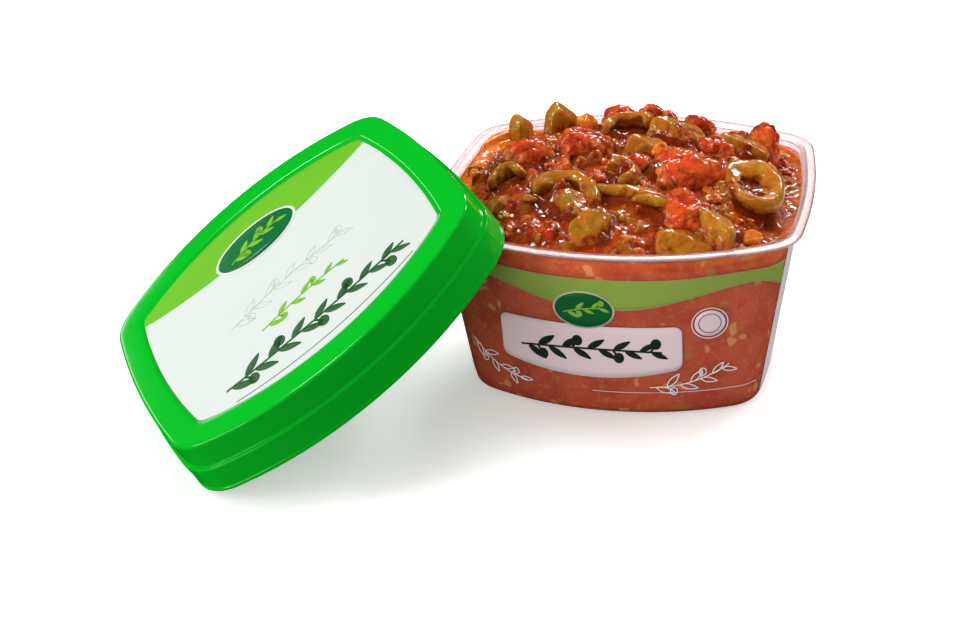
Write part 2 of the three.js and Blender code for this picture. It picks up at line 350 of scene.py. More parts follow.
class Paint:
    """A procedural material: its tree, its shader, and short calls that add nodes to it."""

    def __init__(self, name, **settings):
        self.material = bpy.data.materials.new(name)
        self.material.use_nodes = True
        self.tree = self.material.node_tree
        self.shader = self.tree.nodes["Principled BSDF"]
        self.place = self.add("TexCoord").outputs["Object"]
        for key, value in settings.items():
            self.shader.inputs[key.replace("_", " ")].default_value = value

    def add(self, kind, inputs=None, **settings):
        """A node with its settings. Each input is a number or another node's output."""
        node = self.tree.nodes.new("ShaderNode" + kind)
        for key, value in settings.items():
            setattr(node, key, value)
        for key, value in (inputs or {}).items():
            self.feed(node.inputs[key], value)
        return node

    def feed(self, socket, value):
        """Give a socket another node's output, a colour's code or a number."""
        if isinstance(value, bpy.types.NodeSocket):
            self.tree.links.new(value, socket)
        else:
            socket.default_value = paint(value) if isinstance(value, str) else value

    def noise(self, size, detail=2.0, roughness=0.5):
        """Noise from 0 to 1, with lumps about size millimetres across."""
        inputs = {"Vector": self.place, "Scale": 1 / (size * MM), "Detail": detail, "Roughness": roughness}
        return self.add("TexNoise", inputs).outputs["Fac"]

    def spots(self, size, low, high, to_low=0.0, to_high=1.0, detail=2.0, roughness=0.5):
        """Soft spots about size millimetres across: noise from low to high as to_low to to_high."""
        return self.span(self.noise(size, detail, roughness), low, high, to_low, to_high)

    def value(self, name):
        """A named value stored on the mesh's points."""
        return self.add("Attribute", attribute_name=name).outputs["Fac"]

    def span(self, source, low, high, to_low=0.0, to_high=1.0):
        """source from low to high as to_low to to_high, held there outside."""
        inputs = {"Value": source, "From Min": low, "From Max": high, "To Min": to_low, "To Max": to_high}
        return self.add("MapRange", inputs, interpolation_type="SMOOTHSTEP").outputs["Result"]

    def product(self, first, second):
        """Two numbers multiplied, held between 0 and 1."""
        return self.add("Math", {0: first, 1: second}, operation="MULTIPLY", use_clamp=True).outputs[0]

    def mix(self, share, first, second):
        """One colour turning into another."""
        node = self.add("Mix", data_type="RGBA")
        open_sockets = [socket for socket in node.inputs if socket.enabled]
        for socket, value in zip(open_sockets, (share, first, second)):
            self.feed(socket, value)
        return [socket for socket in node.outputs if socket.enabled][0]

    def layered(self, colour, layers):
        """A colour under layers in spots: size, detail, low, high, cover and colour of each."""
        for size, detail, low, high, cover, over in layers:
            colour = self.mix(self.spots(size, low, high, 0.0, cover, detail), colour, over)
        return colour

    def set(self, name, source):
        """Link a node's output to one of the shader's inputs."""
        self.tree.links.new(source, self.shader.inputs[name])

    def tint(self, size, light, dark, detail=2.0):
        """A colour that wavers a little over size millimetres."""
        self.set("Base Color", self.mix(self.noise(size, detail), light, dark))

    def bump(self, height, depth, below=None):
        """Relief depth millimetres deep."""
        inputs = {"Height": height, "Distance": depth * MM, "Strength": 1.0}
        if below is not None:
            inputs["Normal"] = below
        normal = self.add("Bump", inputs).outputs["Normal"]
        self.set("Normal", normal)
        return normal


SAUCE_DARK = "#7c2604"
SAUCE_LIGHT = "#b0480b"
OIL = "#f0821a"
PULP = "#d86a22"
DEEP = "#5c1c04"


def wet(name, **settings):
    """A wet, juicy material: soft inside, under a thin gloss of sauce and oil."""
    juicy = {
        "Roughness": 0.3,
        "IOR": 1.42,
        "Specular_IOR_Level": 0.2,
        "Coat_Weight": 1.0,
        "Coat_Roughness": 0.06,
        "Coat_IOR": 1.45,
        "Subsurface_Weight": 0.12,
        "Subsurface_Radius": (1.0, 0.35, 0.12),
        "Subsurface_Scale": 0.0015,
    }
    return Paint(name, **{**juicy, **settings})


def food(name, light, dark, film, patch, film_share, relief, grit=0.35, flesh=0.15, crease_shade="#7a1602"):
    """A chunk's own colour in soft patches under a thin film, with shade painted darker into its creases,
    going over to sauce by its coat value.
    """
    made = wet(name, Subsurface_Weight=flesh)
    own = made.mix(made.spots(patch, 0.3, 0.7), light, dark)
    veil = made.spots(4.5, 0.75 - film_share, 1.05 - film_share, 0.0, 0.9, 4, 0.6)
    filmed = made.mix(veil, own, film)
    specks = made.mix(made.spots(1.0, 0.58, 0.7, 0.0, 0.4), filmed, PULP)
    grainy = made.mix(made.spots(0.9, 0.38, 0.5, grit, 0.0, 3, 0.6), specks, DEEP)
    # painted shade: the colour goes darker in the chunk's creases
    crease_shaded = made.mix(made.value("crease_shade"), grainy, crease_shade)
    sauce = made.mix(made.spots(2.2, 0.35, 0.65), SAUCE_DARK, film)
    made.set("Base Color", made.mix(made.value("coat"), crease_shaded, sauce))
    coarse = made.bump(made.noise(2.0, 2, 0.6), 1.6 * relief)
    wrinkled = made.spots(5, 0.4, 0.6, 0.3, 1.0)
    made.bump(made.product(made.noise(0.8), wrinkled), relief, coarse)
    return made.material


def sauce_paint():
    """Thin tomato sauce with pulp in it: oily and olive where the values on its points say so, and darker with
    painted shade in its hollows among the chunks.
    """
    made = wet("sauce")
    blend = made.mix(made.spots(4, 0.38, 0.62, detail=3), SAUCE_DARK, SAUCE_LIGHT)
    pulp = made.layered(blend, [(2.6, 3, 0.48, 0.66, 1.0, "#b82f06"), (1.2, 2, 0.56, 0.68, 0.6, PULP)])
    grainy = made.mix(made.spots(0.9, 0.38, 0.5, 0.5, 0.0, 3, 0.6), pulp, DEEP)
    olive = made.mix(made.value("olive"), grainy, "#94580c")
    # painted shade: the sauce darkened where it lies deep among the chunks and lumps
    cavity_shaded = made.mix(made.value("cavity_shade"), olive, "#641a03")
    oily = made.mix(made.spots(2.4, 0.4, 0.75, detail=4), OIL, "#cc5a0e")
    made.set("Base Color", made.mix(made.value("oil"), cavity_shaded, oily))
    stirred = made.spots(7, 0.35, 0.6, 0.25, 1.0)
    coarse = made.bump(made.product(made.noise(1.9, 3, 0.6), stirred), 0.75)
    made.bump(made.noise(0.8), 0.14, coarse)
    return made.material


def pressed_paint():
    """The salad pressed against the wall: soft pale, green and red bits in sauce, a little duller low down."""
    made = Paint("pressed_salad", Roughness=0.5)
    low = made.mix(made.spots(9, 0.35, 0.65, detail=3), "#a84220", "#ba542e")
    high = made.mix(made.spots(6, 0.35, 0.65, detail=3), "#aa3e0e", "#be5818")
    bits = [
        (1.6, 3, 0.5, 0.8, 0.4, "#d08a5a"),
        (6, 1, 0.66, 0.7, 0.6, "#dca468"),
        (7, 1, 0.67, 0.72, 0.45, "#9a8038"),
        (6.4, 1, 0.66, 0.7, 0.5, "#b02c0e"),
    ]
    made.set("Base Color", made.layered(made.mix(made.value("high"), low, high), bits))
    return made.material


def clear_paint():
    """Clear plastic with the faintest warm tint."""
    made = Paint("clear_plastic", Roughness=0.05, IOR=1.49, Transmission_Weight=1.0)
    made.tint(30, "#ebe2e4", "#e5dcdf")
    return made.material


def frosted_paint():
    """Plastic that the light in the tub's rim and foot makes look milky."""
    frosted = {"Roughness": 0.25, "IOR": 1.49, "Transmission_Weight": 0.88, "Specular_IOR_Level": 0.3}
    made = Paint("frosted_plastic", **frosted)
    # the tint is partly the plastic's own lilac-grey and partly the salad's red painted in, standing in for
    # the salad's colour glowing through the rim
    made.tint(25, "#bea3a4", "#b4999a")
    return made.material


def lid_paint():
    """Glossy green plastic with a fine grain."""
    made = Paint("green_plastic", IOR=1.45)
    made.tint(40, "#059f1d", "#07a521")
    made.set("Roughness", made.spots(12, 0.3, 0.7, 0.08, 0.12, 3))
    made.bump(made.noise(0.5), 0.004)
    return made.material


def card_paint(name, light, dark, roughness=0.3, cover=1.0):
    """Ink or card with its faint unevenness, letting what lies under it through where cover is under 1."""
    made = Paint(name, Roughness=roughness, IOR=1.45, Alpha=cover)
    made.tint(14, light, dark, 3)
    made.bump(made.noise(0.35), 0.003)
    return made.material


# ---------- the tub


def tub_shape():
    """The tub's wall, floor and rolled flange, and between which rings its rim is frosted."""
    under = TUB_HEIGHT - FLANGE_THICK
    half = FLANGE_THICK / 2
    neck = under - FLANGE_FILLET
    inner = FLANGE_WIDTH + TUB_WALL
    profile = [ring(wall_plan(0), inset, z) for inset, z in floor_fillet(0, 0, 7)[::-1]]
    for z in np.linspace(BASE_FILLET, neck, WALL_STEPS)[1:]:
        profile.append(ring(wall_plan(z), 0, z))
    frosted_from = len(profile) - 1
    profile += bend(RIM, (FLANGE_WIDTH, neck), (FLANGE_WIDTH, under), (FLANGE_WIDTH - 0.7, under), 4)[1:]
    for turn in np.linspace(-math.pi / 2, math.pi / 2, 9):
        profile.append(ring(RIM, half * (1 - math.cos(turn)), under + half + half * math.sin(turn)))
    mouth = TUB_HEIGHT - MOUTH_ROUND
    profile += bend(RIM, (inner - 1.3, TUB_HEIGHT), (inner, TUB_HEIGHT), (inner, mouth), 6)
    for z in np.linspace(TUB_HEIGHT - 2.4, BASE_FILLET + TUB_WALL, WALL_STEPS):
        profile.append(ring(wall_plan(z), TUB_WALL, z))
    frosted_to = len(profile) - WALL_STEPS + 2
    profile += [ring(wall_plan(TUB_WALL), inset, z) for inset, z in floor_fillet(TUB_WALL, TUB_WALL, 5)[1:]]
    return loft(profile), frosted_from, frosted_to


def make_tub():
    """The tub, clear between its frosted foot and its frosted rim. It casts no shadow on the salad in it."""
    shape, frosted_from, frosted_to = tub_shape()
    per_ring = len(outline(RIM))
    row = np.arange(len(shape.faces[0])) // per_ring
    frosted = ((row < FROSTED_FOOT) | (row >= frosted_from) & (row < frosted_to)).astype(int)
    caps = np.zeros(2 * per_ring, int)
    which = np.concatenate([frosted, caps])
    paints = [clear_paint(), frosted_paint()]
    shell = piece("tub_shell", [shape], paints, stands_for=["tub"], face_material=which)
    shell.visible_shadow = False


# ---------- the salad's surface

# The large chunks: kind, form, middle, half size along and across, turn in degrees, and top.
CHUNKS = [
    ("olive", "wedge", -28, 36, 5.6, 5, 20, 72.8),
    ("olive", "wedge", -43, 41, 4.2, 3.8, 50, 66.4),
    ("tomato", "lump", -35, -1, 13.5, 11, 15, 74.5),
    ("tomato", "lump", -15, 7, 12, 9.5, 50, 75.5),
    ("olive", "shell", -4, 27, 9.5, 6.5, 25, 73.5),
    ("olive", "skin", 5, 9, 9.5, 6, -20, 73),
    ("tomato", "lump", -9, 39, 9, 6, 10, 72.5),
    ("tomato", "lump", 5, 40, 8, 5.5, -10, 72.6),
    ("olive", "skin", 13, 23, 12.5, 8, -30, 74),
    ("tomato", "lump", 19, 37, 8, 6, -40, 70.5),
    ("tomato", "lump", 27, 17, 7.5, 5.5, -30, 70.5),
    ("tomato", "lump", 31, 37, 6, 4, -35, 65),
    ("olive", "skin", 34.5, 18, 9.5, 7, -15, 71.2),
    ("tomato", "lump", 39.5, 26, 8.5, 7, -15, 72.6),
    ("tomato", "lump", 18, -7, 15.5, 10, -10, 74),
    ("tomato", "lump", 3, -4, 6, 5, 20, 71.6),
    ("olive", "ring", 41, -13, 13, 8.8, -58, 71.3),
    ("olive", "hook", -16, -28, 12.5, 10.5, -25, 71.5),
    ("olive", "dome", -36, -31, 7, 5.5, -60, 66.5),
    ("olive", "shell", -36, -16, 7, 5.5, 40, 70.5),
    ("olive", "dome", -3, -44, 9.5, 5.5, 45, 68.5),
    ("olive", "slice", 3, -28, 11.5, 3.5, -8, 70),
    ("olive", "slice", 12, -33, 6, 3, -6, 69.5),
    ("olive", "shell", 0, -13, 8, 6.5, -55, 72.5),
    ("tomato", "lump", 22.5, -35, 10.5, 8.5, -10, 72),
    ("olive", "skin", 22.5, -46, 10, 5.5, -5, 64.6),
    ("pepper", "lump", -16, -46, 4, 3.5, 0, 63.8),
    ("orange", "dice", 43, -36, 5, 4, 10, 61.5),
    ("orange", "dice", -19, 30, 5.5, 2.6, 60, 71),
    ("orange", "dice", -51, 6, 4, 3.4, 80, 62),
    ("orange", "dice", -48, -3, 3.6, 3, 30, 63.5),
    ("orange", "dice", 45, 6, 3.2, 2.6, 20, 67),
    ("orange", "dice", 11, 3, 3.4, 2.4, 40, 72.5),
    ("pepper", "dice", -28, -17, 3.6, 3, 30, 69.5),
    ("olive", "skin", 31.5, -40.5, 8.5, 6, -40, 69),
    ("olive", "skin", -12, -32.5, 9.8, 7, -45, 69.5),
]
# How far below its top the sauce comes up on a chunk of each form.
BARE = {"lump": 5.0, "dome": 3.8, "skin": 3.8, "wedge": 7.4, "slice": 2.2, "dice": 2.5}
BARE |= {"ring": 5.0, "hook": 4.4, "shell": 4.8}
# Hollow pieces lie tipped forward, in degrees about each of the two level axes.
LEANS = {"ring": (13, 7), "hook": (20, 0), "shell": (12, 0)}
MOUND_COUNT = 460  # small bits that the sauce covers
MOUND_REACH = (54, 57)  # how far from the tub's middle they lie, along and across it
MOUND_SEED = 5
SOFT = 0.4  # how gently the sauce runs up onto a chunk
FOOT = 3  # how far under the heap the sauce drawn up round a chunk starts
FULL_WALL = 0.4  # how far inside the wall's inner face chunks are kept
SHADE_REACH = 24  # rounds of evening out: how far round about the painted shade of a hollow is judged


def heap_height(x, y):
    """The heap under the chunks, level with the sauce at the wall."""
    out_along = (np.abs(x - HEAP_MIDDLE) / HEAP_HALF_LENGTH) ** HEAP_SQUARE
    out_across = (np.abs(y) / HEAP_HALF_DEPTH) ** HEAP_SQUARE
    return FILL_LEVEL + HEAP_HIGH * np.maximum(0, 1 - (out_along + out_across)) ** HEAP_STEEP


def inside_by(x, y, z):
    """How far inside the wall's outer face a point is, or less than 0 outside it."""
    (_, long_y, long_radius, *_), (_, _, corner, *_), (short_x, _, short_radius, *_) = arcs(wall_plan(z))
    from_long = long_radius - np.hypot(x, np.abs(y) - long_y)
    from_short = short_radius - np.hypot(np.abs(x) - short_x, y)
    in_corner = corner - np.hypot(np.maximum(corner - from_long, 0), np.maximum(corner - from_short, 0))
    rounded_off = (from_long < corner) & (from_short < corner)
    return np.where(rounded_off, in_corner, np.minimum(from_long, from_short))


def from_wall(x, y):
    """How far in from the tub's wall a point of the surface is."""
    return np.maximum(inside_by(x, y, FILL_LEVEL), 0)


def kept_inside(points):
    """Points with those too near the tub's wall drawn in toward its middle."""
    for _ in range(4):
        beyond = np.maximum(TUB_WALL + FULL_WALL - inside_by(*points.T), 0)
        out = np.maximum(np.hypot(points[:, 0], points[:, 1]), 1)
        share = 1 - 1.1 * beyond / out
        points = points * np.stack([share, share, np.ones(len(points))], 1)
    return points


def out_from_chunk(chunk, x, y):
    """How far a place is from a chunk's middle, squared: 1 at the chunk's edge."""
    _, _, middle_x, middle_y, half_along, half_across, degrees, _ = chunk
    turn = math.radians(degrees)
    x, y = x - middle_x, y - middle_y
    along = x * math.cos(turn) + y * math.sin(turn)
    across = y * math.cos(turn) - x * math.sin(turn)
    return (along / half_along) ** 2 + (across / half_across) ** 2


def mounds():
    """Small bits just under the sauce: middle, radius, height, and whether each is olive."""
    draw = np.random.default_rng(MOUND_SEED)
    x, y = (draw.uniform(-reach, reach, MOUND_COUNT) for reach in MOUND_REACH)
    radius = draw.uniform(1.3, 4.2, MOUND_COUNT)
    rise = draw.uniform(0.5, 2.0, MOUND_COUNT)
    is_olive = draw.random(MOUND_COUNT) < 0.3
    return np.stack([x, y, radius, rise, is_olive], 1)


MOUNDS = mounds()


def out_from_mound(mound, x, y):
    """How far a place is from a mound's middle, squared: 1 at its radius."""
    middle_x, middle_y, radius = mound[:3]
    return ((x - middle_x) ** 2 + (y - middle_y) ** 2) / radius**2


def sauce_height(x, y):
    """The sauce between and over the chunks: drawn up round each one, and lumpy with what lies under it."""
    wall = from_wall(x, y)
    inward = smooth_step(wall, 0.4, 5)
    heap = heap_height(x, y) - SAUCE_DROP * inward
    height = heap
    for chunk in CHUNKS:
        _, form, middle_x, middle_y, *_, top = chunk
        rise = top - BARE[form] - heap_height(middle_x, middle_y)
        drawn_up = heap - FOOT + (rise + FOOT) * np.exp(-0.75 * out_from_chunk(chunk, x, y) ** 1.5)
        height = SOFT * np.logaddexp(height / SOFT, drawn_up / SOFT)
    for mound in MOUNDS:
        height = height + 0.75 * mound[3] * inward * np.exp(-(out_from_mound(mound, x, y) ** 1.8))
    places = np.stack([x, y, 0 * x], -1).reshape(-1, 3)
    puffs = np.abs(noise(places, 3.6, 15)) + 0.55 * np.abs(noise(places, 1.8, 16))
    crushed = smooth_step(noise(places, 13, 17), -0.6, 0.2)
    relief = (0.45 * rough(places, 6.5, 4, 11) + 0.95 * crushed * puffs).reshape(np.shape(x))
    climb = 0.7 + 2.0 * leftness(x)
    return height + relief * inward + climb * np.exp(-wall / 0.8)


def sauce_at(x, y):
    """The sauce's height at one place."""
    return float(sauce_height(np.array([x]), np.array([y]))[0])


def leftness(x):
    """0 at the right to 1 at the left, where oil has run up the wall."""
    return smooth_step(-x, 20, 52)


def even_outline(plan_sizes, inset, count):
    """An outline as count points, evenly along it."""
    points = outline(plan_sizes, inset, (60, 40, 30))
    closed = np.concatenate([points, points[:1]])
    length = np.concatenate([[0], np.cumsum(np.linalg.norm(np.diff(closed, axis=0), axis=1))])
    reach = np.linspace(0, length[-1], count, endpoint=False)
    return np.stack([np.interp(reach, length, closed[:, axis]) for axis in (0, 1)], 1)


def grid_places(edge, cells):
    """A square grid of points whose edge is pulled onto an outline of 8 times as many points."""
    u, v = np.meshgrid(np.arange(-cells, cells + 1), np.arange(-cells, cells + 1), indexing="ij")
    level = np.maximum(np.abs(u), np.abs(v))
    along = np.select([u == level, v == level, u == -level], [v, 2 * level - u, 4 * level - v], 6 * level + u)
    place = (along * cells / np.maximum(level, 1)) % len(edge)
    before = np.floor(place).astype(int) % len(edge)
    share = (place - np.floor(place))[..., None]
    return (edge[before] * (1 - share) + edge[(before + 1) % len(edge)] * share) * (level / cells)[..., None]


def edge_ring(cells):
    """The grid's point numbers along its edge, in the outline's order."""
    across = 2 * cells + 1
    number = np.arange(across * across).reshape(across, across)
    right = number[-1, cells:]
    top = number[::-1, -1][1:]
    left = number[0, ::-1][1:]
    bottom = number[:, 0][1:]
    start = number[-1, :cells][1:]
    return np.concatenate([right, top, left, bottom, start])


def painted_cavity_shade(x, y, height):
    """How deep each place of the surface lies among the chunks and lumps round it, from 0 to 1: the shade
    painted into the sauce's hollows.
    """
    crowded = height.copy()
    for chunk in CHUNKS:
        out = out_from_chunk(chunk, x, y)
        crowded = np.maximum(crowded, np.where(out < 1, chunk[-1] - 3 * out, 0))
    around = crowded
    for _ in range(SHADE_REACH):
        for axis in (0, 1):
            around = 0.5 * around + 0.25 * (np.roll(around, 1, axis) + np.roll(around, -1, axis))
    return 0.8 * smooth_step(around - height, 0.3, 2.2) * smooth_step(from_wall(x, y), 3, 8)


def band(lower, upper):
    """Quads between two rings of point numbers, the second above the first."""
    return np.stack([lower, np.roll(lower, -1), np.roll(upper, -1), upper], 1)


def fill_sides(count):
    """The salad's sides from under its top to its floor, as rings of so many points."""
    profile = [(INTO_WALL, z) for z in np.linspace(FILL_LEVEL - 4, 5, 12)]
    profile += floor_fillet(INTO_WALL, INTO_FLOOR, 6)[1:]
    outlines = [even_outline(wall_plan(z), inset, count) for inset, z in profile]
    return [np.column_stack([points, np.full(count, z)]) for points, (_, z) in zip(outlines, profile)]


def fill_values(points):
    """What the sauce's paints read at each point: how oily and high it is, and how much olive is under it."""
    wall = from_wall(points[:, 0], points[:, 1])
    ragged = rough(points, 9, 3, 31)
    leftward = smooth_step(-points[:, 0], -60, 30)
    front = smooth_step(-points[:, 1], 20, 45)
    reach = 2.5 * leftward * (1 - front)
    margin = 1 - smooth_step(wall + 2.5 * ragged, 1.0 + reach, 4 + 2.2 * reach)
    oil = margin * (0.4 + 0.6 * leftward) * (1 - 0.6 * front)
    high = smooth_step(points[:, 2] + 1.5 * ragged, 44, 55)
    olive = np.zeros(len(points))
    for mound in MOUNDS:
        out = out_from_mound(mound, points[:, 0], points[:, 1])
        olive = np.maximum(olive, mound[4] * np.exp(-out) * 0.8)
    return {"oil": oil, "olive": olive, "high": high}


def make_fill():
    """The sauce with what lies in it: a lumpy top, and sides that reach just into the wall."""
    across = 2 * SALAD_CELLS + 1
    count = 8 * SALAD_CELLS
    places = grid_places(even_outline(wall_plan(FILL_LEVEL), INTO_WALL, count), SALAD_CELLS)
    x, y = places[..., 0], places[..., 1]
    height = sauce_height(x, y)
    top = np.stack([x, y, height], -1).reshape(-1, 3)
    rings = fill_sides(count)
    points = np.concatenate([top, *rings, [[0, 0, INTO_FLOOR]]])
    numbers = [edge_ring(SALAD_CELLS)]
    numbers += [len(top) + row * count + np.arange(count) for row in range(len(rings))]
    sides = np.concatenate([band(lower, upper) for upper, lower in zip(numbers[:-1], numbers[1:])])
    floor = fan(len(points) - 1 - count, count, len(points) - 1, False)
    faces = [quads(across, across), sides, floor]
    # painted shade for the hollows of the sauce's top; its sides get none
    cavity_shade = np.zeros(len(points))
    cavity_shade[: len(top)] = painted_cavity_shade(x, y, height).ravel()
    shape = Shape(points, faces, **fill_values(points), cavity_shade=cavity_shade)
    which = np.repeat([0, 1], [len(faces[0]), len(sides) + len(floor)])
    paints = [sauce_paint(), pressed_paint()]
    piece("salad_sauce", [shape], paints, stands_for=["salad"], face_material=which)


# ---------- the salad's chunks

SHARP = 22  # how sharp the edges of a cut chunk are
SEED_APART = 31  # how far apart in the noise chunks of following seeds lie, in millimetres
FINE_DETAIL = 9.5  # half length over which a chunk's mesh is finer
COAT_EDGE = (0.2, 3.2)  # how far over the sauce a chunk's coat begins to give out, and is gone
COAT_RAGGED = 2.4
COAT_SEED = 77


@functools.lru_cache
def sphere(detail):
    """Points all over a unit sphere, and its triangles."""
    mesh = bmesh.new()
    bmesh.ops.create_icosphere(mesh, subdivisions=detail, radius=1)
    points = np.array([vertex.co[:] for vertex in mesh.verts])
    faces = np.array([[vertex.index for vertex in face.verts] for face in mesh.faces])
    mesh.free()
    return points, faces


def blob(half_sizes, square, cuts, detail, sharp=SHARP):
    """A squared ellipsoid about the origin with soft-edged flat cuts, each a direction and a distance."""
    directions, faces = sphere(detail)
    inverse = ((np.abs(directions) / half_sizes) ** square).sum(1) ** (sharp / square)
    for direction, distance in cuts:
        toward = directions @ (np.array(direction) / np.linalg.norm(direction))
        inverse = inverse + (np.maximum(toward, 0) / distance) ** sharp
    return Shape(directions * inverse[:, None] ** (-1 / sharp), [faces])


def pushed(shape, amount):
    """Points moved out from the middle by an amount each."""
    out = shape.points / np.linalg.norm(shape.points, axis=1)[:, None]
    return Shape(shape.points + out * amount[:, None], shape.faces)


def lump(half, seed, detail):
    """Crushed tomato: lumps of flesh of several sizes grown together, puffy and wrinkled all over, with shade
    painted into the folds between the lumps.
    """
    draw = np.random.default_rng(seed)
    directions, faces = sphere(detail)
    reach = 0
    for _ in range(9):
        middle = draw.normal(size=3)
        middle *= draw.uniform(0.3, 0.5) / np.linalg.norm(middle)
        toward = directions @ middle
        radius = draw.uniform(0.52, 0.66)
        reach = reach + (toward + np.sqrt(toward**2 + radius**2 - middle @ middle)) ** SHARP
    shape = Shape(directions * reach[:, None] ** (1 / SHARP) * half, [faces])
    places = shape.points + SEED_APART * seed
    size = min(1, max(0.4, half[1] / 6))
    large = np.abs(noise(places, 4.6 * size, seed))
    small = np.abs(noise(places, 2.3 * size, seed + 1))
    puffs = size * (1.4 * large + 0.6 * small - 0.5)
    made = pushed(shape, puffs + 0.12 * size * rough(places, 1.3 * size, 2, seed + 2))
    # painted shade: how dark the folds between the lumps are painted
    made.values["crease_shade"] = 0.45 * (1 - smooth_step(large, 0, 0.3)) + 0.25 * (1 - smooth_step(small, 0, 0.2))
    return made


def dome(half, seed, detail):
    """A cut piece of olive: round skin, flat cut faces with crisp edges, and one end narrower."""
    draw = np.random.default_rng(seed)
    along, across, up = half
    side = draw.choice([-1, 1])
    cuts = [
        ((side, draw.uniform(-0.4, 0.4), 0.25), along * draw.uniform(0.6, 0.75)),
        ((draw.uniform(-0.4, 0.4), -1, draw.uniform(0.5, 1.1)), across * draw.uniform(0.5, 0.7)),
        ((-side * 0.7, draw.uniform(-0.5, 0.5), 1), up * draw.uniform(0.6, 0.75)),
        ((side * 0.5, 0.7, 0.8), across * draw.uniform(0.7, 0.9)),
    ]
    shape = blob(half, 2.6, cuts, detail)
    places = shape.points + SEED_APART * seed
    dents = np.abs(noise(places, 5, seed + 5)) - 0.3
    shape = pushed(shape, min(1, across / 5) * (1.1 * dents + 0.35 * rough(places, 4, 3, seed)))
    share = shape.points[:, 0] / along * -side
    shape.points[:, 1] *= 1 - 0.35 * np.maximum(share, 0) ** 2
    return shape


def skin(half, seed, detail):
    """A large piece of olive, skin up: one end cut off, the other drawn out, flats in front and on top."""
    along, across, up = half
    cuts = [
        ((-1, -0.3, 0.3), 0.72 * along),
        ((0.2, -1, 0.55), 0.62 * across),
        ((0.35, 0.1, 1), 0.68 * up),
        ((-0.3, 0.8, 0.8), 0.85 * across),
    ]
    shape = blob(half, 2.2, cuts, detail, 14)
    places = shape.points + SEED_APART * seed
    shape = pushed(shape, 0.8 * np.abs(noise(places, 6, seed)) + 0.5 * rough(places, 4, 3, seed))
    shape.points[:, 1] *= 1 - 0.45 * np.maximum(shape.points[:, 0] / along, 0) ** 2
    return shape


def dice(half, seed, detail):
    """A small diced piece of carrot, onion or pepper: flat faces, no two alike."""
    draw = np.random.default_rng(seed)
    cuts = [(draw.normal(size=3), half[1] * draw.uniform(0.55, 0.9)) for _ in range(7)]
    shape = blob(half, 4, cuts, detail)
    return pushed(shape, 0.16 * rough(shape.points + SEED_APART * seed, 2.5, 3, seed))


def wedge(half, seed, detail):
    """A cut corner of olive, standing up to a ridge between two sloping faces, with its skin at the back."""
    along, across, up = half
    peak = np.array([-0.25 * along, 0, up])
    cuts = [(face, float(peak @ face)) for face in ((0.62, -0.1, 0.78), (-0.72, -0.1, 0.69))]
    cuts += [(face, along) for face in ((-1, -0.1, 0.1), (1, -0.25, 0.15))]
    cuts += [((0.2, -0.97, 0.15), 0.7 * across)]
    shape = blob(half * [1.5, 1, 1.6], 2.5, cuts, detail, 11)
    return pushed(shape, 0.5 * rough(shape.points + SEED_APART * seed, 4, 3, seed))


def squared_off(wave, power):
    """A sine or cosine flattened at its ends, so that a round section becomes squarer."""
    return np.sign(wave) * np.abs(wave) ** power


def tapered(share, power, least):
    """Full along the middle of a run from -1 to 1, and rounding off to least at its ends."""
    return (1 - np.abs(share) ** power) ** 0.5 + least


def tube(points, rows, around, closed, ends):
    """Rings of points and the faces between them, with both ends closed off unless they meet."""
    faces = [quads(rows, around, closed, True)]
    if not closed:
        last = rows * around
        points = np.concatenate([points, ends])
        faces += [fan(0, around, last, False), fan(last - around, around, last + 1, True)]
    return points, faces


def shifts(points, size, octaves, seed):
    """Rough noise along each of the three axes."""
    places = points + SEED_APART * seed
    return np.stack([rough(places, size, octaves, seed + axis) for axis in range(3)], 1)


def swept(path, half_width, half_height, seed, around=24):
    """A rounded bar along a path, with a half width and half height at each of its points."""
    ahead = np.roll(path, -1, axis=0) - np.roll(path, 1, axis=0)
    ahead[0], ahead[-1] = path[1] - path[0], path[-1] - path[-2]
    side = np.cross(ahead, [0, 0, 1])
    side /= np.linalg.norm(side, axis=1)[:, None]
    turn = np.linspace(0, 2 * math.pi, around, endpoint=False)
    aside = half_width[:, None] * squared_off(np.cos(turn), 0.85)
    points = path[:, None] + side[:, None] * aside[..., None]
    points[..., 2] += half_height[:, None] * np.sin(turn)
    points, faces = tube(points.reshape(-1, 3), len(path), around, False, path[[0, -1]])
    return Shape(points + 0.35 * shifts(points, 4, 3, seed), faces)


def hollow_piece(half_sizes, thick, start, end, low, high, seed, closed=False, around=30):
    """Part of a pitted olive: its thick wall round from start to end and up from low to high, all in degrees.
    The wall thins out to rounded ends unless it closes on itself."""
    steps = 84 if closed else 60
    turn = np.radians(np.linspace(start, end, steps, endpoint=not closed))[:, None]
    share = np.linspace(0, 1, steps)[:, None]
    taper = 1 + 0 * share if closed else tapered(2 * share - 1, 5, 0.02)
    section = np.linspace(0, 2 * math.pi, around, endpoint=False)[None, :]
    upward, outward = squared_off(np.cos(section), 0.6), squared_off(np.sin(section), 0.6)
    rise = np.radians((low + high) / 2 + (high - low) / 2 * upward * taper)
    skin = np.stack([np.cos(rise) * np.cos(turn), np.cos(rise) * np.sin(turn), np.sin(rise)], -1) * half_sizes
    inward = skin / np.linalg.norm(skin, axis=2)[..., None]
    depth = thick * (0.5 + 0.5 * outward * taper) * (1 + 0.22 * np.cos(3 * turn + seed))
    points = (skin - inward * depth[..., None]).reshape(-1, 3)
    ends = [points[:around].mean(0), points[-around:].mean(0)]
    points, faces = tube(points, steps, around, closed, ends)
    return Shape(points + 0.4 * shifts(points, 4, 3, seed) + 1.3 * shifts(points, 9, 1, seed), faces)


def long_slice(along, across, up, seed):
    """A long thin slice of olive, slightly bent."""
    share = np.linspace(-1, 1, 44)
    taper = tapered(share, 2.6, 0.02)
    path = np.stack([along * share, 0.14 * along * (1 - share**2), 0 * share], 1)
    return swept(path, across * 0.75 * taper, up * 0.55 * taper, seed)


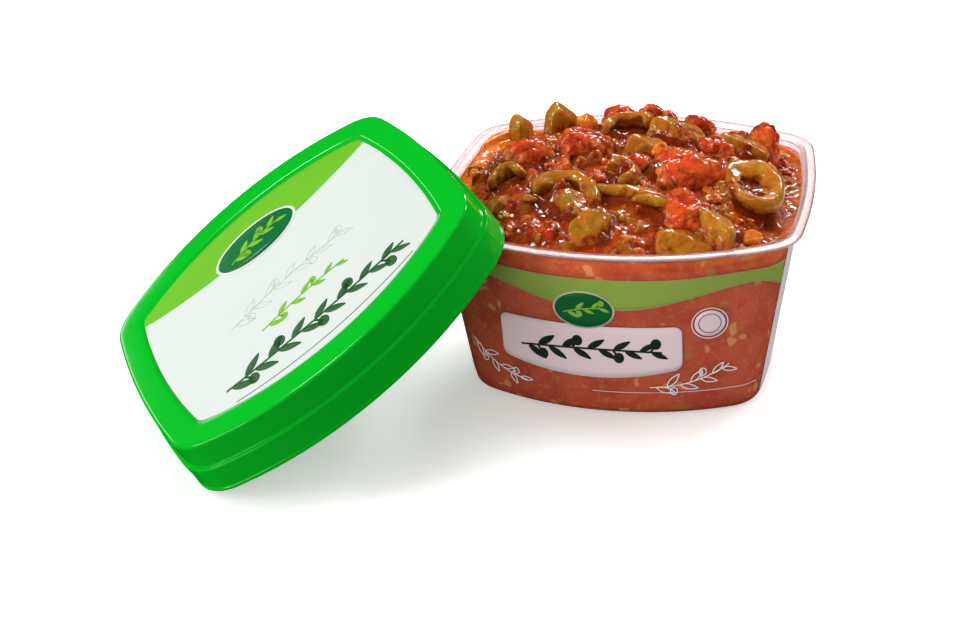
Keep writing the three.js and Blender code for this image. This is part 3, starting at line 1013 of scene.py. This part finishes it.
def set_down(shape, x, y, turn, top, lean=(0, 0)):
    """A shape turned and leaned, with its middle over a place and its highest point at top. Its coat of sauce
    is full where it sinks in, and gives out raggedly over the sauce."""
    angles = [math.radians(degrees) for degrees in (*lean, turn)]
    moved = shape.moved(Euler(angles, "ZYX").to_matrix().to_4x4())
    moved.points = kept_inside(moved.points + [x, y, top - moved.points[:, 2].max()])
    over = moved.points[:, 2] - sauce_height(moved.points[:, 0], moved.points[:, 1])
    ragged = COAT_RAGGED * rough(moved.points, 4.5, 4, COAT_SEED)
    moved.values["coat"] = 1 - smooth_step(over + ragged, *COAT_EDGE)
    # chunks without folds get no painted crease shade
    moved.values.setdefault("crease_shade", np.zeros(len(moved.points)))
    return moved


# The hollow pieces: half height unless it is the half depth, wall, start and end round, and low and high.
HOLLOW = {"ring": (7.5, 7.4, 0, 360, -35, 26), "hook": (7.5, 5.2, 205, -70, -35, 28)}
HOLLOW["shell"] = (None, 3.4, 200, -40, -30, 50)
SLICE_UP = 3.2


def chunk_shape(form, half, seed):
    """A large chunk about the origin, of the form named."""
    along, across, _ = half
    if form in HOLLOW:
        half_high, *wall = HOLLOW[form]
        return hollow_piece([along, across, half_high or across], *wall, seed, closed=form == "ring")
    if form == "slice":
        return long_slice(along, across, SLICE_UP, seed)
    shapes = {"lump": lump, "dome": dome, "skin": skin, "wedge": wedge, "dice": dice}
    return shapes[form](half, seed, 6 if along > FINE_DETAIL else 5)


def make_chunks():
    """The large chunks set down on the heap, listed by kind."""
    kinds = {kind: [] for kind in BITS}
    for seed, (kind, form, x, y, along, across, turn, top) in enumerate(CHUNKS):
        up = max(across, (top - heap_height(x, y) + 4) / 1.6)
        shape = chunk_shape(form, np.array([along, across, up]), seed)
        kinds[kind].append(set_down(shape, x, y, turn, top, LEANS.get(form, (0, 0))))
    return kinds


# How many small bits of each kind lie on the heap, with their smallest and largest half size.
BITS = {"tomato": (90, 1.4, 3.6), "olive": (64, 1.4, 3.6), "pepper": (18, 0.9, 1.8), "orange": (48, 0.9, 2.4)}
BIT_FORMS = {"tomato": lump, "olive": dome, "pepper": dice, "orange": dice}
BIT_MARGIN = 3.5
BIT_REACH = (55, 57)
BIT_SEED = 23
BIT_FINE = 2.3  # half size over which a bit's mesh is finer
BIT_NUMBER = 100  # the bits are numbered on from here, past every large chunk's seed
SHRED_COUNT = 26
SHRED_MARGIN = 7
SHRED_REACH = (50, 53)
SHRED_SEED = 41


def on_chunk(x, y):
    """Whether a place lies over the bare part of a large chunk."""
    return any(out_from_chunk(chunk, x, y) < 0.9 for chunk in CHUNKS)


def make_bits(kinds):
    """Small bits of every kind, half sunk in the sauce all over the heap."""
    draw = np.random.default_rng(BIT_SEED)
    for kind, (count, smallest, largest) in BITS.items():
        placed = 0
        while placed < count:
            x, y = (draw.uniform(-reach, reach) for reach in BIT_REACH)
            size = smallest + (largest - smallest) * draw.random() ** 1.6
            long, flat = draw.uniform(0.9, 1.5), draw.uniform(0.6, 0.95)
            turn, rise = draw.uniform(0, 180), draw.uniform(0.15, 0.75)
            lean = draw.uniform(-30, 30, 2)
            if from_wall(x, y) < BIT_MARGIN + size or on_chunk(x, y):
                continue
            placed += 1
            detail = 4 if size > BIT_FINE else 3
            shape = BIT_FORMS[kind](size * np.array([long, 1, flat]), BIT_NUMBER + placed, detail)
            kinds[kind].append(set_down(shape, x, y, turn, sauce_at(x, y) + rise * size, lean))


def make_shreds():
    """Thin curved shreds of onion and pepper skin, lying in the sauce."""
    draw = np.random.default_rng(SHRED_SEED)
    shreds = []
    while len(shreds) < SHRED_COUNT:
        x, y = (draw.uniform(-reach, reach) for reach in SHRED_REACH)
        if from_wall(x, y) < SHRED_MARGIN:
            continue
        length, bow = draw.uniform(3, 6.5), draw.uniform(-0.5, 0.5)
        share = np.linspace(-1, 1, 22)
        taper = tapered(share, 3, 0.05)
        path = np.stack([length * share, bow * length * (1 - share**2), 0 * share], 1)
        shape = swept(path, draw.uniform(0.5, 0.9) * taper, 0.45 * taper, len(shreds), around=12)
        top = sauce_at(x, y) + draw.uniform(0.3, 0.8)
        shreds.append(set_down(shape, x, y, draw.uniform(0, 360), top, draw.uniform(-12, 12, 2)))
    return shreds


def make_salad():
    """The sauce, and one piece for each kind of chunk with its small bits."""
    make_fill()
    kinds = make_chunks()
    make_bits(kinds)
    # each food's crease colour, the tomato's by default, is the shade painted into its creases
    olive = food("olive", "#b08e22", "#765a0c", "#b06212", 6, 0.48, 0.3, 0.15, 0.1, "#6a4204")
    tomato = food("tomato", "#d6491c", "#9c270d", "#db702a", 5, 0.3, 0.2, 0.3)
    pepper = food("red_pepper", "#d42c08", "#b41e04", "#c44410", 4, 0.2, 0.15, 0.2)
    orange = food("orange_bits", "#f0a034", "#e0781c", "#d0641a", 3, 0.36, 0.2, 0.2, crease_shade="#b04c0c")
    piece("olive_pieces", kinds["olive"], [olive])
    piece("tomato_pieces", kinds["tomato"], [tomato])
    piece("pepper_pieces", kinds["pepper"], [pepper])
    piece("carrot_and_onion_pieces", kinds["orange"], [orange])
    shred = food("onion_shreds", "#d99a4a", "#c97a34", "#c46a26", 3, 0.3, 0.08)
    piece("onion_shreds", make_shreds(), [shred])


# ---------- printed fields


def film(places, put, closed=False, lift=0.0):
    """A thin printed field over a grid of places, put on its surface by put(across, up, height)."""
    rows, columns = places.shape[:2]
    across, up = places.reshape(-1, 2).T
    sides = [put(across, up, np.full(len(up), lift + side * FILM_THICK / 2)) for side in (-1, 1)]
    number = np.arange(rows * columns).reshape(rows, columns)
    if closed:
        loops = [number[0], number[-1]]
    else:
        loops = [np.concatenate([number[0, :-1], number[:-1, -1], number[-1, :0:-1], number[:0:-1, 0]])]
    faces = quads(rows, columns, closed_columns=closed)
    edges = [band(loop, loop + len(up)) for loop in loops]
    return Shape(np.concatenate(sides), [faces, faces + len(up), *edges])


def between(along, lower, upper, steps=8):
    """A grid of places between two curves over the same run."""
    share = np.linspace(0, 1, steps)
    up = lower[:, None] + (upper - lower)[:, None] * share
    return np.stack([np.broadcast_to(along[:, None], up.shape), up], -1)


def ribbon(line, width):
    """A grid of places along a line of the given width."""
    ahead = np.gradient(line, axis=0)
    side = np.stack([-ahead[:, 1], ahead[:, 0]], 1) / np.linalg.norm(ahead, axis=1)[:, None]
    return line[:, None] + side[:, None] * (np.array([-0.5, 0.5]) * width)[None, :, None]


def disc(middle, half_width, half_height):
    """A grid of places over an oval."""
    turn = np.linspace(-0.49 * math.pi, 0.49 * math.pi, 41)
    reach = half_height * np.cos(turn)
    return between(middle[0] + half_width * np.sin(turn), middle[1] - reach, middle[1] + reach, 6)


def hoop(middle, half_width, half_height, width, around=48):
    """A closed grid of places over an oval ring of the given width."""
    turn = np.linspace(0, 2 * math.pi, around, endpoint=False)
    inset = np.array([0, width])[:, None]
    x = middle[0] + (half_width - inset) * np.cos(turn)
    y = middle[1] + (half_height - inset) * np.sin(turn)
    return np.stack([x, y], -1)


def leaf_edge(base, angle, length, width, side, count=16):
    """One edge of a pointed leaf."""
    share = np.linspace(0, 1, count)
    out = side * width / 2 * np.sin(math.pi * share**0.85)
    turn = math.radians(angle)
    x = length * share * math.cos(turn) - out * math.sin(turn)
    y = length * share * math.sin(turn) + out * math.cos(turn)
    return np.stack([base[0] + x, base[1] + y], 1)


def leaf(base, angle, length, width):
    """A grid of places over a pointed leaf."""
    first = leaf_edge(base, angle, length, width, -1)
    second = leaf_edge(base, angle, length, width, 1)
    share = np.linspace(0, 1, 4)[None, :, None]
    return (first[:, None] * (1 - share) + second[:, None] * share)[1:-1]


def sprig(start, end, bow, leaves, size, outlined=None):
    """An olive sprig from start to end: a bowed stem, leaves to either side, an olive at every third leaf.
    Returns open grids and closed ones. Outlined, its leaves and olives are drawn as lines of that width."""
    start, end = np.array(start, float), np.array(end, float)
    share = np.linspace(0, 1, 40)[:, None]
    across = np.array([start[1] - end[1], end[0] - start[0]])
    stem = start + (end - start) * share + across * bow * 4 * share * (1 - share)
    line = outlined or size * 0.09
    opened, closed = [ribbon(stem, line)], []
    heading = math.degrees(math.atan2(*(end - start)[::-1]))
    for number in range(leaves):
        base = stem[int(38 * (number + 0.6) / leaves)]
        side = 1 if number % 2 else -1
        lean = heading + side * (38 - 10 * number / leaves)
        length = size * (1.0 - 0.25 * number / leaves)
        if outlined:
            opened += [ribbon(leaf_edge(base, lean, length, length * 0.32, edge), line) for edge in (-1, 1)]
        else:
            opened.append(leaf(base, lean, length, length * 0.32))
        if number % 3 == 1:
            turn = math.radians(heading - side * 60)
            middle = base + size * 0.42 * np.array([math.cos(turn), math.sin(turn)])
            if outlined:
                closed.append(hoop(middle, size * 0.2, size * 0.25, line, 24))
            else:
                opened.append(disc(middle, size * 0.2, size * 0.25))
            opened.append(ribbon(np.linspace(base, middle, 4), line))
    return opened, closed


def printed(name, opened, closed, put, ink, lift=0.0):
    """Printed fields as one piece, from open grids and closed ones, lifted so far over the surface."""
    shapes = [film(grid, put, False, lift) for grid in opened]
    shapes += [film(grid, put, True, lift) for grid in closed]
    piece(name, shapes, [ink])


def print_all(name, put, inks, fields):
    """Print fields, each a name, its open grids and its closed ones, its ink and its lift."""
    for field, opened, closed, ink, lift in fields:
        printed(name.format(field), opened, closed, put, inks[ink], lift)


def on_back(along, z, proud):
    """As on_wall, from the back's middle."""
    return on_wall(along, z, proud) * [-1, -1, 1]


BAND_HALF = 59.0
BAND_TOP = 51.4
PANEL_MIDDLE = -4.8
PANEL_HALF = 29.0
SIDE_MEDALLION = (-5.6, 40)
SEAL = (32.8, 34.8)
OUTLINE_WIDE = 0.34  # the lines of the sprigs drawn in outline
RULE_Z = 8.9


def rounded_panel(middle, half, bottom, sag, top, radius):
    """A panel with round corners and a bottom edge that bellies down by sag."""
    along = middle + half * np.sin(np.linspace(-math.pi / 2, math.pi / 2, 61))
    end = np.clip(radius - (half - np.abs(along - middle)), 0, radius)
    pull = radius - np.sqrt(radius**2 - end**2)
    lower = bottom - sag * (1 - ((along - middle) / half) ** 2)
    return between(along, lower + pull, 0 * along + top - pull)


def wave_band():
    """The wave's places along the wall, with its lower and its upper edge."""
    along = np.linspace(-BAND_HALF, BAND_HALF, 150)
    far = np.abs(along - 0.5)
    lower = 40.6 + 7.6 * smooth_step(far, 4, 47) - 5.5 * smooth_step(far, 47, 62)
    upper = BAND_TOP + 0.9 * smooth_step(far, 15, 45)
    return along, lower, upper


def make_side_print(side, put, inks):
    """The print of one long side: the wave band, a panel and medallion, a ring, and sprigs in outline."""
    along, lower, upper = wave_band()
    edges = [ribbon(np.stack([along, edge], 1), 0.2) for edge in (upper, lower)]
    left, left_ovals = sprig((-45.5, 20.5), (-26, 9), -0.1, 6, 5.6, OUTLINE_WIDE)
    right, right_ovals = sprig((14, 11), (39, 18.5), -0.08, 7, 6.4, OUTLINE_WIDE)
    rule = ribbon(np.linspace((-4.0, RULE_Z), (49.0, RULE_Z), 60), 0.16)
    fields = [
        ("band", [between(along, lower, upper)], [], "wave", 0.0),
        ("band_edges", edges, [], "wave_edge", 0.02),
        ("panel", [rounded_panel(PANEL_MIDDLE, PANEL_HALF, 18, 3.7, 34.2, 2.4)], [], "panel", 0.03),
        ("branch", *sprig((-27, 23.5), (18, 24.6), 0.03, 11, 8.2), "dark", 0.06),
        ("medallion_rim", [disc(SIDE_MEDALLION, 9.6, 6.9)], [], "pale", 0.06),
        ("medallion", [disc(SIDE_MEDALLION, 9.0, 6.3)], [], "green", 0.09),
        ("medallion_twig", *sprig((-12, 38.6), (1, 41), 0.05, 5, 4.6), "lime", 0.12),
        ("seal", [disc(SEAL, 4.8, 4.8)], [hoop(SEAL, 5.8, 5.8, 0.4)], "panel", 0.03),
        ("seal_ring", [], [hoop(SEAL, 3.6, 3.6, 0.25)], "dark", 0.06),
        ("outlines", [*left, *right, rule], left_ovals + right_ovals, "end", 0.03),
    ]
    print_all("print_{}_" + side, put, inks, fields)


def make_end_label(side, sign, ink):
    """The pale label on one short side, between the corners."""
    up = np.linspace(2.4, 57.0, 24)
    share = np.linspace(-1, 1, 40)
    quarter = sum(arc_lengths(up))
    half = quarter - sum(arc_lengths(up)[:2]) + 1.6
    along = quarter[:, None] + half[:, None] * share
    places = np.stack([along, np.broadcast_to(up[:, None], along.shape)], -1)

    def put(across, z, height):
        """As on_wall, going on round the short side's middle."""
        beyond = across - sum(arc_lengths(z))
        near = on_wall(across - 2 * np.maximum(beyond, 0), z, height)
        near[:, 1] *= np.where(beyond > 0, -1, 1)
        return near * [sign, 1, 1]

    printed(f"print_label_{side}", [places], [], put, ink)


def make_tub_print():
    """The print on all four sides. The back's repeats the front's."""
    colours = {
        "wave": ("#a8d25c", "#9ec854", 0.3, 0.5),
        "wave_edge": ("#b3b487", "#a7a878"),
        "pale": ("#cfc6b8", "#c4bbae"),
        "panel": ("#f5dde0", "#eed5d9"),
        "end": ("#fdf8fa", "#f6eff2"),
        "dark": ("#1d2a1c", "#243322"),
        "green": ("#0f6b35", "#0a5a2a"),
        "lime": ("#8fc04a", "#7fb43c"),
    }
    inks = {name: card_paint("ink_" + name, *look) for name, look in colours.items()}
    make_side_print("front", on_wall, inks)
    make_side_print("back", on_back, inks)
    make_end_label("right", 1, inks["end"])
    make_end_label("left", -1, inks["end"])


# ---------- the lid


def lid_shape():
    """The lid in its own frame: the flat border's top at height 0, the skirt below it."""
    deep = -RECESS_DEPTH
    step = -LID_BAND_HIGH
    foot = step - LID_BAND_LOW
    stepped = LID_STEP_INSET
    well = RECESS_DRAFT + 0.3
    border = LID_TOP_INSET + 0.9
    ledge = LID_BEAD + 0.15
    top, under = LID_TOP_INSET, LID_TOP_INSET + LID_WALL
    outside = [
        (RECESS, (well + 1.2, deep), (well, deep), (well - 0.5, deep + 0.6), 5),
        (RECESS, (0.75, -0.5), (0.2, 0), (-0.6, 0), 6),
        (LID, (border + 0.4, 0), (top, 0), (top - 0.05, -1.2), 9),
        (LID, (stepped + 0.42, step + 0.6), (stepped + 0.4, step + 0.2), (stepped, step + 0.15), 5),
        (LID, (ledge + 0.35, step + 0.05), (ledge, step), (ledge - 0.02, step - 0.5), 6),
        (LID, (LID_BEAD + 0.03, foot + 1.6), (LID_BEAD, foot + 1.2), (LID_BEAD - 0.15, foot + 1.15), 4),
        (LID, (0.25, foot + 1.1), (0, foot + 1.05), (0, foot + 0.8), 5),
        (LID, (0, foot + 0.4), (0, foot), (0.4, foot), 4),
    ]
    profile = []
    for part in outside:
        profile += bend(*part)
    for inset, z in ((LID_BEAD, foot), (stepped - 0.7, step - 0.9), (stepped + 0.3, step - 0.4)):
        profile.append(ring(LID, inset + LID_WALL, z))
    profile += bend(LID, (under, -LID_WALL - 1.2), (under, -LID_WALL), (border + LID_WALL, -LID_WALL), 5)
    profile.append(ring(RECESS, -LID_WALL, -LID_WALL))
    profile.append(ring(RECESS, well - LID_WALL, deep - LID_WALL))
    return loft(profile)


def lid_place():
    """The lid's frame in the tub's: turned and tilted, and set so that it fills the solid's box."""
    turned_lid = lid_shape().moved(LID_TURN.to_matrix().to_4x4()).points
    offset = (LID_BOX[0] + LID_BOX[1]) / 2 - (turned_lid.min(0) + turned_lid.max(0)) / 2
    return Matrix.LocRotScale(Vector(offset), LID_TURN, None)


def label_curl(x):
    """How far the card rises at the end that lies low, where it has curled."""
    return 0.6 * np.clip((-x - 40) / 9, 0, 1.1) ** 2


def label_shape():
    """The lid's card in the lid's frame, lying in its recess with one end curled up."""
    flat = ring(RECESS, LABEL_INSET + 0.25, LABEL_TOP)
    shares = [*np.linspace(0.05, 0.85, 12), *np.linspace(0.87, 0.99, 18)]
    rings = [flat * [share, share, 1] for share in shares]
    edge = LABEL_INSET
    rings += bend(RECESS, (edge + 0.25, LABEL_TOP), (edge, LABEL_TOP), (edge, LABEL_TOP - 0.2), 4)
    rings.append(ring(RECESS, edge, LABEL_TOP - LABEL_THICK))
    shape = loft(rings)
    shape.points[:, 2] += label_curl(shape.points[:, 0])
    return shape


LABEL_MEDALLION = (-1, 28)
LABEL_HALF = 48.6


def lime_field():
    """The lime field's places across the label, with its lower edge and its upper one, along the card's."""
    x = LABEL_HALF * np.sin(np.linspace(-math.pi / 2, math.pi / 2, 121))
    edge = outline(RECESS, LABEL_INSET + 0.15, (60, 20, 10))
    edge = edge[edge[:, 1] > 0]
    edge = edge[np.argsort(edge[:, 0])]
    upper = np.interp(x, edge[:, 0], edge[:, 1])
    return x, np.minimum(24.4 + 6.8 * (x / 47) ** 2, upper - 0.02), upper


def make_lid():
    """The lid, the card in its recess, and the card's print."""
    place = lid_place()

    def on_label(x, y, height):
        local = np.stack([x, y, LABEL_TOP + label_curl(x) + height], -1)
        return local @ np.array(place.to_3x3()).T + np.array(place.to_translation())

    piece("lid_shell", [lid_shape().moved(place)], [lid_paint()], stands_for=["lid"])
    card = card_paint("label_card", "#bdc3be", "#b9bfba", 0.6)
    piece("label_card", [label_shape().moved(place)], [card], stands_for=["lid_label"])
    colours = {
        "lime": ("#60a710", "#579d0b", 0.6),
        "pale": ("#d5dcd2", "#c9d2c8", 0.25),
        "green": ("#0c6b36", "#085228", 0.25),
        "dark": ("#23512b", "#2d5c30", 0.4),
        "sprig": ("#6fae1f", "#64a318", 0.4),
        "faint": ("#a9b1aa", "#b2b9b3", 0.5),
    }
    inks = {name: card_paint("label_" + name, *look) for name, look in colours.items()}
    x, lower, upper = lime_field()
    along = np.linspace(-34, 34, 60)
    rule = np.stack([along, -45.6 + 4.6 * (along / 34) ** 2], 1)
    fields = [
        ("lime_field", [between(x, lower, upper, 14)], [], "lime", 0.0),
        ("lime_edge", [ribbon(np.stack([x, lower], 1), 0.35)], [], "pale", 0.03),
        ("medallion_rim", [disc(LABEL_MEDALLION, 16.6, 10.4)], [], "pale", 0.06),
        ("medallion", [disc(LABEL_MEDALLION, 15.6, 9.4)], [], "green", 0.09),
        ("medallion_twig", *sprig((-12, 25.5), (9.5, 29.5), 0.05, 7, 7.2), "sprig", 0.12),
        ("branch", *sprig((-35, -33), (34, -33), -0.02, 15, 10), "dark", 0.03),
        ("twig", *sprig((-16, -19.5), (17, -18.5), 0.03, 7, 6.5), "sprig", 0.03),
        ("faint_branch", *sprig((-24, -7), (24, -5), 0.04, 11, 7.5, 0.18), "faint", 0.03),
        ("rule", [ribbon(rule, 0.3)], [], "dark", 0.03),
    ]
    print_all("label_{}", on_label, inks, fields)


# ---------- floor, light and camera


FLOOR_HALF = 3.0  # the stage is in metres
FLOOR_UNDER = -0.0003  # so that no face of the tub lies in the floor's own plane


def make_floor():
    """A plain pale floor that glows a little and throws no colour on the tub."""
    mesh = bpy.data.meshes.new("floor")
    half = FLOOR_HALF
    corners = [(x, y, FLOOR_UNDER) for x, y in ((-half, -half), (half, -half), (half, half), (-half, half))]
    mesh.from_pydata(corners, [], [(0, 1, 2, 3)])
    made = Paint("floor_paper", Roughness=0.6, Emission_Strength=0.38)
    made.shader.inputs["Emission Color"].default_value = (1, 1, 1, 1)
    made.tint(300, "#f7f7f5", "#f4f4f2")
    mesh.materials.append(made.material)
    floor = added("floor", mesh)
    floor.visible_glossy = False
    floor.visible_diffuse = False


# The lamps: place in metres, width and height, and power. Only the glints and strips show in glossy surfaces.
LAMPS = {
    "top_soft": ((-0.15, 0.3, 1.4), (0.8, 0.8), 10.2),
    "left_soft": ((-1.15, -0.45, 0.55), (0.8, 0.8), 6.8),
    "right_soft": ((1.2, 0.5, 0.35), (0.8, 0.8), 8.5),
    "front_soft": ((-0.3, -1.35, 0.3), (0.8, 0.5), 4.3),
    "low_soft": ((-1.0, -0.9, 0.12), (0.6, 0.2), 4.5),
    "glint_back": ((0.0, 0.8, 0.75), (0.22, 0.22), 3.6),
    "glint_right": ((0.5, 0.55, 0.7), (0.2, 0.2), 2.4),
    "glint_left": ((-0.8, -0.1, 0.8), (0.16, 0.16), 1.6),
    "strip_front": ((-0.95, -0.7, 0.45), (0.9, 0.08), 2.2),
    "strip_left": ((-1.25, 0.55, 0.35), (0.5, 0.08), 0.8),
}
LAMPS_AIM = (-0.02, 0, 0.03)


def make_lamp(name, place, size, power):
    """A rectangular lamp at a place, facing the tub."""
    light = bpy.data.lights.new(name, "AREA")
    light.energy = power
    light.shape = "RECTANGLE"
    light.size, light.size_y = size
    made = added(name, light)
    made.location = place
    aim = Vector(LAMPS_AIM) - Vector(place)
    made.rotation_euler = aim.to_track_quat("-Z", "Y").to_euler()
    made.visible_glossy = not name.endswith("soft")


def make_light():
    """A white surrounding light that glossy surfaces don't show, and the lamps."""
    world = bpy.data.worlds.new("studio")
    world.use_nodes = True
    background = world.node_tree.nodes["Background"]
    background.inputs["Color"].default_value = (1, 1, 1, 1)
    background.inputs["Strength"].default_value = 0.4
    world.cycles_visibility.glossy = False
    bpy.context.scene.world = world
    for name, (place, size, power) in LAMPS.items():
        make_lamp(name, place, size, power)
    bpy.context.scene.view_settings.view_transform = "Standard"


CAMERA_PLACE = (0.07062, -0.48019, 0.25976)
CAMERA_TURN = (62.828, 2.544, 12.980)
CAMERA_LENS = 60.02


def make_camera():
    """The camera, in front of the tub and a little to its right, looking down at it."""
    camera = bpy.data.cameras.new("camera")
    camera.lens = CAMERA_LENS
    camera.sensor_width = 36
    camera.clip_start = 0.01
    made = added("camera", camera)
    made.location = CAMERA_PLACE
    made.rotation_euler = [math.radians(angle) for angle in CAMERA_TURN]
    bpy.context.scene.camera = made


make_tub()
make_salad()
make_tub_print()
make_lid()
make_floor()
make_light()
make_camera()

bpy.context.view_layer.update()
